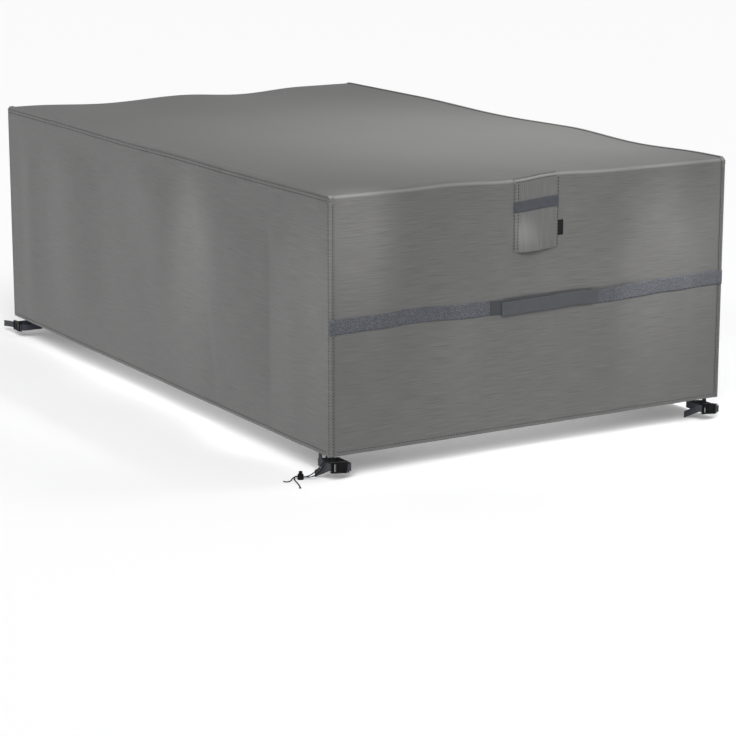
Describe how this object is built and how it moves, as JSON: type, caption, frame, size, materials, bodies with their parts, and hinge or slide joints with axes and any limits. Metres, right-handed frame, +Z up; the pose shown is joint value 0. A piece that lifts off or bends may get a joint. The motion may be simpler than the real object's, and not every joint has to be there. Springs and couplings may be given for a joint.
{
  "type": "furniture cover",
  "caption": "Rectangular hanging cloth cover for a garden table set, with a vent hood, hook-and-loop bands, buckled straps and a hem drawcord.",
  "frame": {"origin": "middle of the underside of the top, where the furniture carries the cloth", "axes": "+X along the long side towards the end with the vent hood, +Y along the short side, +Z up"},
  "size_m": [2.2382, 1.4384, 0.784],
  "materials": {
    "cover_cloth": "matte coated weave",
    "loop_tape": "fuzzy loop pile",
    "hook_tape": "fine hooks",
    "vent_tape_cloth": "matte woven tape",
    "woven_tag": "satin weave",
    "webbing": "ribbed webbing",
    "buckle_plastic": "moulded, slightly satin",
    "drawcord": "round braid"
  },
  "bodies": {
    "cover": {"centre_panel": "cover_cloth", "side_panel_near": "cover_cloth", "side_panel_far": "cover_cloth", "vent_hood": "cover_cloth", "vent_tape": "vent_tape_cloth", "side_label": "woven_tag", "band_left": "loop_tape", "band_right": "loop_tape", "hook_patch": "hook_tape", "hem_tab_front": "webbing", "strap_front": "webbing", "buckle_male_front": "buckle_plastic", "buckle_female_front": "buckle_plastic", "hem_tab_right": "webbing", "strap_right": "webbing", "buckle_male_right": "buckle_plastic", "buckle_female_right": "buckle_plastic", "hem_tab_left": "webbing", "strap_left": "webbing", "buckle_male_left": "buckle_plastic", "buckle_female_left": "buckle_plastic", "hem_tab_back": "webbing", "strap_back": "webbing", "buckle_male_back": "buckle_plastic", "buckle_female_back": "buckle_plastic", "cord_short": "drawcord", "cord_long": "drawcord", "cord_knot": "drawcord", "cord_lock_body": "buckle_plastic"},
    "lock_button": {"cord_lock_button": "buckle_plastic"}
  },
  "joints": [
    {"name": "lock_press", "type": "slide", "parent": "cover", "child": "lock_button", "axis": [0, 0, -1], "range_m": [0, 0.003], "stiffness_N_per_m": 300}
  ]
}
